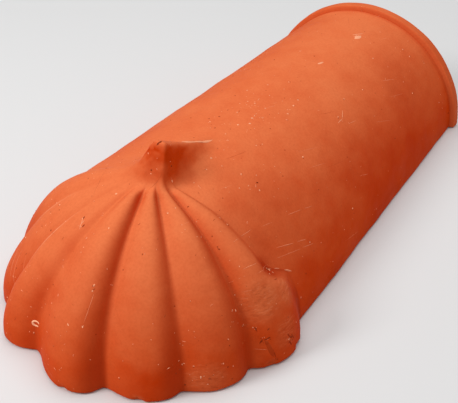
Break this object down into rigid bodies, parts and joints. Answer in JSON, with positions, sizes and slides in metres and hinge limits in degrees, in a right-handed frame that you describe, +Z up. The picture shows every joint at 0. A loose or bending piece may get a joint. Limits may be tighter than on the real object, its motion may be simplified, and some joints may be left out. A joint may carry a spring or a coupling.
{
  "type": "shell-ended ridge tile",
  "caption": "Half-round hollow ridge or hip end tile in fired clay, closed at the front by a fluted scallop shell with a raised knob, with a collar round its open end.",
  "frame": {"origin": "middle of the tile's length and width, on the plane that it beds on", "axes": "+Y along the tile from the shell end to the open collar end, +X across it to the right seen from the shell, +Z up"},
  "size_m": [0.2304, 0.4632, 0.1279],
  "materials": {
    "fired_clay": "matt unglazed terracotta with fine grit, pits and light scratches"
  },
  "bodies": {
    "root": {"shell_ridge_tile": "fired_clay"}
  },
  "joints": []
}
